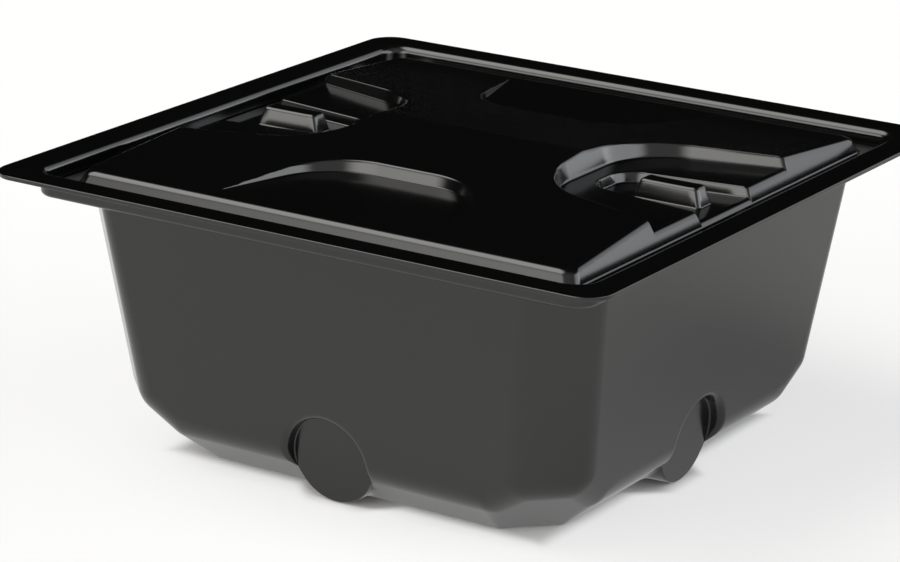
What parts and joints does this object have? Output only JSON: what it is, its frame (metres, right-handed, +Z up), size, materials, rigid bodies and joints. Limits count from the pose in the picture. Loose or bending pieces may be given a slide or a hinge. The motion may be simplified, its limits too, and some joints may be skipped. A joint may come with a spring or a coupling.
{
  "type": "plastic reservoir tub with lid",
  "caption": "Square black plastic reservoir tub with a wide flange, sloping walls cut at the corners, round pipe pads low on the walls, and a drop-in ridged lid with finger recesses.",
  "frame": {"origin": "on the floor, under the middle of the tub", "axes": "+Z up, X along the lid's ridge, from one grip bar to the other, Y square to it"},
  "size_m": [0.8, 0.8, 0.3699],
  "materials": {
    "tub_plastic": "semi-gloss black thermoformed sheet",
    "lid_plastic": "semi-gloss black thermoformed sheet"
  },
  "bodies": {
    "root": {"tub": "tub_plastic", "lid": "lid_plastic"}
  },
  "joints": []
}
